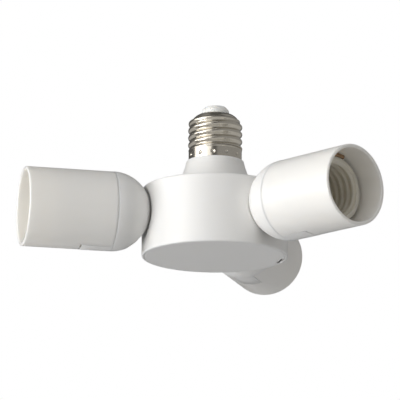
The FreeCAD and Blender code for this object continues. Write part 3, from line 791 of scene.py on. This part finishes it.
def make_insert(k):
    """Screw socket: a tube whose bore carries the lamp thread, on a flanged base with two legs."""
    thread_start = 13.6
    thread_full = 14.8
    well_radius = 12.9
    flange_radius = 17.1
    lead_in_depth = 1.2
    rim_round = 0.35
    window_half = 3.5
    window_ends = (17.0, 23.0)
    leg_half = 4.5
    leg_top = 7.6
    x = np.concatenate([np.linspace(insert_floor - 0.5, thread_start - 0.2, 5),
                        np.linspace(thread_start, insert_rim, 104)])
    angles = np.linspace(0, TURN, 144, endpoint=False)
    xs, a = np.meshgrid(x, angles, indexing="ij")
    depth = (insert_major - insert_minor) * groove(xs, a) * ease(xs, thread_start, thread_full)
    lead_in = insert_minor + np.clip(xs - (insert_rim - lead_in_depth), 0, lead_in_depth)
    bore = np.maximum(insert_minor + depth, lead_in)
    bore = np.where(xs < thread_start - 0.1, well_radius, bore)
    to_rim = np.clip((xs - (insert_rim - rim_round)) / rim_round, 0, 1)
    outside = insert_radius - rim_round * to_rim**2
    middle = math.pi / 2 - contact_turn
    side = np.abs((a - middle + math.pi) % TURN - math.pi) * insert_radius
    window = (side < window_half) & (xs > window_ends[0]) & (xs < window_ends[1])
    tube = wall(about_x(xs, outside, a), about_x(xs, bore, a), keep=~window[:-1], wrap=True)
    flange_corners = [(on_axis, insert_floor, 0), (flange_radius, insert_floor, 0.2),
                      (flange_radius, insert_base, 0.2), (on_axis, insert_base, 0)]
    flange = lathe_x(round_corners(flange_corners, 3)[::-1], angles[::2])
    bow = np.linspace(-DOWN, DOWN, 13)
    leg_x = np.concatenate([[0.1, leg_top, leg_top, 0.1], trunnion_hole * np.cos(bow)])
    leg_z = np.concatenate([[-leg_half, -leg_half, leg_half, leg_half],
                            trunnion_hole * np.sin(bow)])
    legs = [slab(np.stack([leg_x, leg_z], axis=1), low, high) for low, high in saddle_sides]
    part = in_head(k, joined(tube, flange, *legs))
    put(f"lamp_thread_insert_{k}", *part, f"head_{k}", [f"thread_insert_{k}"], "white_insulator",
        insert_pbt)


def strip(path, width, thickness, bend):
    """Sheet strip bent along a path in the XZ plane: the path is offset both ways."""
    open_path = [(x, z, bend) for x, z in path]
    open_path[0] = (*path[0], 0)
    open_path[-1] = (*path[-1], 0)
    line = round_corners(open_path, 5)
    tangent = np.gradient(line, axis=0)
    tangent /= np.linalg.norm(tangent, axis=1)[:, None]
    offset = np.stack([-tangent[:, 1], tangent[:, 0]], axis=1) * thickness / 2
    outline = np.concatenate([line + offset, (line - offset)[::-1]])
    count = len(outline)
    ring = np.zeros((2, count, 3))
    ring[:, :, 0], ring[:, :, 2] = outline[:, 0], outline[:, 1]
    ring[0, :, 1], ring[1, :, 1] = -width / 2, width / 2
    verts, quads = flipped(grid(ring, wrap_columns=True))
    first = np.arange(len(line) - 1)
    opposite = count - 1 - first
    cap = np.stack([first, first + 1, opposite - 1, opposite], axis=-1)
    return verts, np.concatenate([quads, cap, cap[:, ::-1] + count])


def make_contacts(k):
    """Side strip, centre leaf and their rivets; the paths are points of (x, z)."""
    thickness = 0.4
    side_width = 6.5
    leaf_width = 6.0
    mid = insert_radius + thickness / 2
    path = [(7.2, 7.0), (7.2, mid), (17.4, mid), (19.2, 12.65), (20.8, 12.65), (22.6, mid),
            (31.1, mid), (31.1, 17.0)]
    side = turned_x(strip(path, side_width, thickness, 0.5), -contact_turn)
    put(f"side_contact_strip_{k}", *in_head(k, side), f"head_{k}", [f"side_contact_{k}"],
        "copper_strip", strip_copper)
    path = [(9.6, -11.0), (9.6, -5.4), (12.6, -1.6), (12.6, 1.7), (11.2, 3.8)]
    leaf = strip(path, leaf_width, thickness, 0.7)
    put(f"centre_contact_leaf_{k}", *in_head(k, leaf), f"head_{k}", [f"centre_contact_{k}"],
        "brass", strip_brass)
    around = np.linspace(0, TURN, 40, endpoint=False)
    t = np.linspace(0, math.pi / 2, 7)
    head_size = 2.1
    head_rise = 0.8
    shank = 1.2
    rivets = []
    for front, back, z, turn in ((9.8, 7.4, -8.5, 0.0), (9.4, 7.0, 9.5, -contact_turn)):
        head = np.stack([head_size * np.cos(t), front + head_rise * np.sin(t)], axis=1)
        tail = np.stack([head_size * np.sin(t), back - head_rise * np.cos(t)], axis=1)
        outline = np.concatenate([tail, [(shank, back), (shank, front)], head])
        outline[:, 0] = np.maximum(outline[:, 0], on_axis)
        verts, quads = lathe_x(outline[::-1], around)
        rivets.append(turned_x((verts + np.array([0, 0, z]), quads), turn))
    put(f"contact_rivet_pair_{k}", *in_head(k, joined(*rivets)), f"head_{k}",
        [f"contact_rivets_{k}"], "brass", strip_brass)


def disc(radius, degrees):
    """Points (x, z) on a circle at the given angles."""
    a = np.radians(degrees)
    return np.stack([radius * np.cos(a), radius * np.sin(a)], axis=1)


def make_arm(k):
    """Hollow arm: threaded nipple, flatted collar and the knuckle on its pin."""
    nipple_radius = 4.0
    nipple_bore = 2.5
    nipple_ends = (-29.6, -4.4)
    nipple_pitch = 1.0
    thread_depth = 0.28
    thread_end = -21.5
    collar_radius = 5.5
    collar_bore = 3.0
    collar_ends = (-21.35, -19.98)
    flat_half = 4.15
    block_front = -3.5
    block_half_height = 5.4
    block_half_width = 4.25
    around = np.linspace(0, TURN, 72, endpoint=False)
    x = np.linspace(*nipple_ends, 150)
    tube = np.concatenate([
        np.stack([np.full(len(x), nipple_radius), x], axis=1),
        np.stack([np.full(20, nipple_bore), np.linspace(*nipple_ends[::-1], 20)], axis=1),
    ])

    def thread(r, h, a):
        turn = (h / nipple_pitch - a / TURN) % 1.0
        cut = thread_depth * np.abs(turn - 0.5) * 2 * (h < thread_end)
        return np.where(r > 3.0, r - cut, r)

    def flats(r, h, a):
        y = r * np.cos(a)
        return np.where(np.abs(y) > flat_half, np.abs(flat_half / np.cos(a)), r)

    nipple = lathe_x(tube[::-1], around, thread)
    low, high = collar_ends
    collar_corners = [(collar_radius, low, 0.2), (collar_radius, high, 0.3),
                      (collar_bore, high, 0), (collar_bore, low, 0)]
    collar = lathe_x(round_corners(collar_corners, 3)[::-1], around, flats)
    block = np.concatenate([[(block_front, block_half_height)],
                            disc(knuckle_radius, np.linspace(122.6, 237.4, 21)),
                            [(block_front, -block_half_height)]])
    pieces = [nipple, collar, slab(block, -block_half_width, block_half_width)]
    all_round = np.linspace(0, 360, 49)[:-1]
    for way in (-1, 1):
        for radius, start, end in ((knuckle_radius, 4.2, 6.0), (pin_radius, 5.9, 9.4)):
            low, high = sorted((way * start, way * end))
            pieces.append(slab(disc(radius, all_round), low, high))
    put(f"tilt_arm_{k}", *in_head(k, joined(*pieces)), "hub", [f"pivot_arm_{k}"], "white_abs_arm",
        arm_abs)


make_hub()
make_cover()
make_shell()
make_plug()
for k in HEADS:
    make_dome(k)
    make_sleeve(k)
    make_insert(k)
    make_contacts(k)
    make_arm(k)

# nodes that keep their solids
kept = {
    "tip_lead": live_pvc,
    "shell_lead": neutral_pvc,
    "live_splice": cap_nylon,
    "neutral_splice": cap_nylon,
    "friction_washers": zinc,
    "lock_washer": zinc,
    "arm_nut": zinc,
    "hub_live_lead": live_pvc,
    "head_live_lead": live_pvc,
    "hub_neutral_lead": neutral_pvc,
    "head_neutral_lead": neutral_pvc,
}
for name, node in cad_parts.items():
    stem = name[:-2] if name[-2:] in ("_1", "_2", "_3") else name
    if stem in kept:
        node.data.materials.clear()
        node.data.materials.append(kept[stem])


# The room, the lights and the camera


def make_floor():
    """Pale paper well below the part.

    It is brighter to the eye and in reflections than the light it gives
    back, which keeps the part's underside in shade, as in the photo.
    """
    half_side = 6.0
    level = -0.6
    fibre_mm = 2.5
    seen_white = 0.75
    mirrored_white = 0.35
    material, tree, out = start_material("pale_paper_floor")
    place = add(tree, "ShaderNodeTexCoord").outputs["Object"]
    fibre = add(tree, "ShaderNodeTexNoise", {"Scale": 1000 / fibre_mm, "Detail": 2.0},
                {"Vector": place})
    tone = add(tree, "ShaderNodeMix",
               {"data_type": "RGBA", 6: linear("#C6C6C6"), 7: linear("#CCCCCC")},
               {0: fibre.outputs["Fac"]})
    paper = add(tree, "ShaderNodeBsdfDiffuse", None, {"Color": tone.outputs[2]})
    seen = add(tree, "ShaderNodeLightPath")
    shown = add(tree, "ShaderNodeMath", {"operation": "MULTIPLY", 1: seen_white},
                {0: seen.outputs["Is Camera Ray"]})
    share = add(tree, "ShaderNodeMath", {"operation": "MULTIPLY_ADD", 1: mirrored_white},
                {0: seen.outputs["Is Glossy Ray"], 2: shown.outputs[0]})
    white = add(tree, "ShaderNodeEmission", {"Strength": 1.0})
    mixed = add(tree, "ShaderNodeMixShader", None,
                {0: share.outputs[0], 1: paper.outputs[0], 2: white.outputs[0]})
    tree.links.new(mixed.outputs[0], out.inputs[0])
    corners = np.array([[-1, -1, 0], [1, -1, 0], [1, 1, 0], [-1, 1, 0]]) * half_side
    corners[:, 2] = level
    mesh = bpy.data.meshes.new("floor")
    mesh.from_pydata(corners.tolist(), [], [(0, 1, 2, 3)])
    mesh.materials.append(material)
    floor = bpy.data.objects.new("floor", mesh)
    scene.collection.objects.link(floor)


def make_world():
    """Studio air: white to the eye, an even grey to the part's diffuse surfaces.

    Reflections see a grey tent with two dark flags, which give the metal its
    dark bands.  One is a round patch to the left and a little behind.  The
    other is an upright band near the photo's line of sight, in front and behind.
    """
    diffuse_level = 0.33
    tent_level = 0.34
    patch_way = (-0.906, 0.423, 0.0)
    across_band = (-0.989, -0.148, 0.0)
    world = bpy.data.worlds.new("studio")
    scene.world = world
    world.use_nodes = True
    tree = world.node_tree
    tree.nodes.clear()
    seen = add(tree, "ShaderNodeLightPath")
    way = add(tree, "ShaderNodeTexCoord").outputs["Generated"]
    towards = add(tree, "ShaderNodeVectorMath", {"operation": "DOT_PRODUCT", 1: patch_way},
                  {0: way})
    patch = add(tree, "ShaderNodeMapRange",
                {"interpolation_type": "SMOOTHSTEP", "From Min": 0.35, "From Max": 0.8,
                 "To Min": 1.0, "To Max": 0.35},
                {"Value": towards.outputs["Value"]})
    across = add(tree, "ShaderNodeVectorMath", {"operation": "DOT_PRODUCT", 1: across_band},
                 {0: way})
    aside = add(tree, "ShaderNodeMath", {"operation": "ABSOLUTE"}, {0: across.outputs["Value"]})
    band = add(tree, "ShaderNodeMapRange",
               {"interpolation_type": "SMOOTHSTEP", "From Min": 0.16, "From Max": 0.34,
                "To Min": 0.3, "To Max": 1.0},
               {"Value": aside.outputs[0]})
    flags = add(tree, "ShaderNodeMath", {"operation": "MULTIPLY"},
                {0: patch.outputs[0], 1: band.outputs[0]})
    tent = add(tree, "ShaderNodeMath", {"operation": "MULTIPLY", 1: tent_level},
               {0: flags.outputs[0]})
    shine = add(tree, "ShaderNodeMix", {"data_type": "FLOAT", 2: diffuse_level},
                {0: seen.outputs["Is Glossy Ray"], 3: tent.outputs[0]})
    level = add(tree, "ShaderNodeMath", {"operation": "MAXIMUM"},
                {0: shine.outputs[0], 1: seen.outputs["Is Camera Ray"]})
    sky = add(tree, "ShaderNodeBackground", {"Color": (1.0, 1.0, 1.0, 1.0)},
              {"Strength": level.outputs[0]})
    out = add(tree, "ShaderNodeOutputWorld")
    tree.links.new(sky.outputs[0], out.inputs[0])


def softbox(name, azimuth, elevation, width, height, power, colour="#FFFFFF", shines=True):
    """A soft box 1.5 m away that looks at the part from an azimuth and elevation in degrees.

    Its sizes are in metres and its power in watts.  shines says whether
    glossy surfaces mirror it.
    """
    distance = 1.5
    aim_level = 0.03
    a, e = math.radians(azimuth), math.radians(elevation)
    way = Vector((math.cos(a) * math.cos(e), math.sin(a) * math.cos(e), math.sin(e)))
    lamp = bpy.data.lights.new(name, "AREA")
    lamp.shape = "RECTANGLE"
    lamp.size, lamp.size_y = width, height
    lamp.energy = power
    lamp.color = linear(colour)[:3]
    holder = bpy.data.objects.new(name, lamp)
    holder.location = way * distance + Vector((0, 0, aim_level))
    holder.visible_glossy = shines
    holder.rotation_euler = (-way).to_track_quat("-Z", "Y").to_euler()
    scene.collection.objects.link(holder)


def make_camera():
    """The photo's camera: a long lens, a little below the hub, 1.44 m away.

    The middle of the hub's underside shows at the pixel shown_at of a frame
    of 400 by 400, and the lens is given as its length in such pixels.
    """
    azimuth = math.radians(16.4)
    elevation = math.radians(-12.6)
    distance = 1.4395
    frame_pixels = 400.0
    lens_pixels = 2990.0
    shown_at = (214.95, 257.2)
    roll = math.radians(0.3)
    back = Vector((math.sin(azimuth) * math.cos(elevation),
                   -math.cos(azimuth) * math.cos(elevation), math.sin(elevation)))
    camera = bpy.data.cameras.new("camera")
    camera.sensor_width = 36.0
    camera.lens = lens_pixels * camera.sensor_width / frame_pixels
    camera.clip_start, camera.clip_end = 0.1, 50.0
    holder = bpy.data.objects.new("camera", camera)
    look = (-back).to_track_quat("-Z", "Y").to_matrix()
    yaw = math.atan((shown_at[0] - frame_pixels / 2) / lens_pixels)
    nod = math.atan((shown_at[1] - frame_pixels / 2) / lens_pixels)
    aim = look @ Matrix.Rotation(yaw, 3, "Y") @ Matrix.Rotation(nod, 3, "X")
    aim = aim @ Matrix.Rotation(roll, 3, "Z")
    holder.matrix_world = Matrix.Translation(back * distance) @ aim.to_4x4()
    scene.collection.objects.link(holder)
    scene.camera = holder


make_floor()
make_world()
# each soft box: azimuth and elevation, width and height, power
softbox("key_softbox", 234.0, 13.0, 0.72, 0.7, 4.8)
softbox("key_left_softbox", 204.0, 6.0, 0.72, 0.7, 4.0)
softbox("key_right_softbox", 259.0, 12.0, 0.56, 0.7, 1.5)
softbox("low_softbox", 226.0, -18.0, 0.9, 0.7, 12.4)
softbox("right_softbox", 358.0, -5.0, 1.2, 1.0, 1.7, "#FFF8EE", shines=False)
softbox("high_softbox", 250.0, 34.0, 0.8, 0.7, 2.0)
softbox("top_softbox", 266.0, 60.0, 0.8, 0.8, 1.3)
make_camera()
scene.view_settings.view_transform = "Standard"
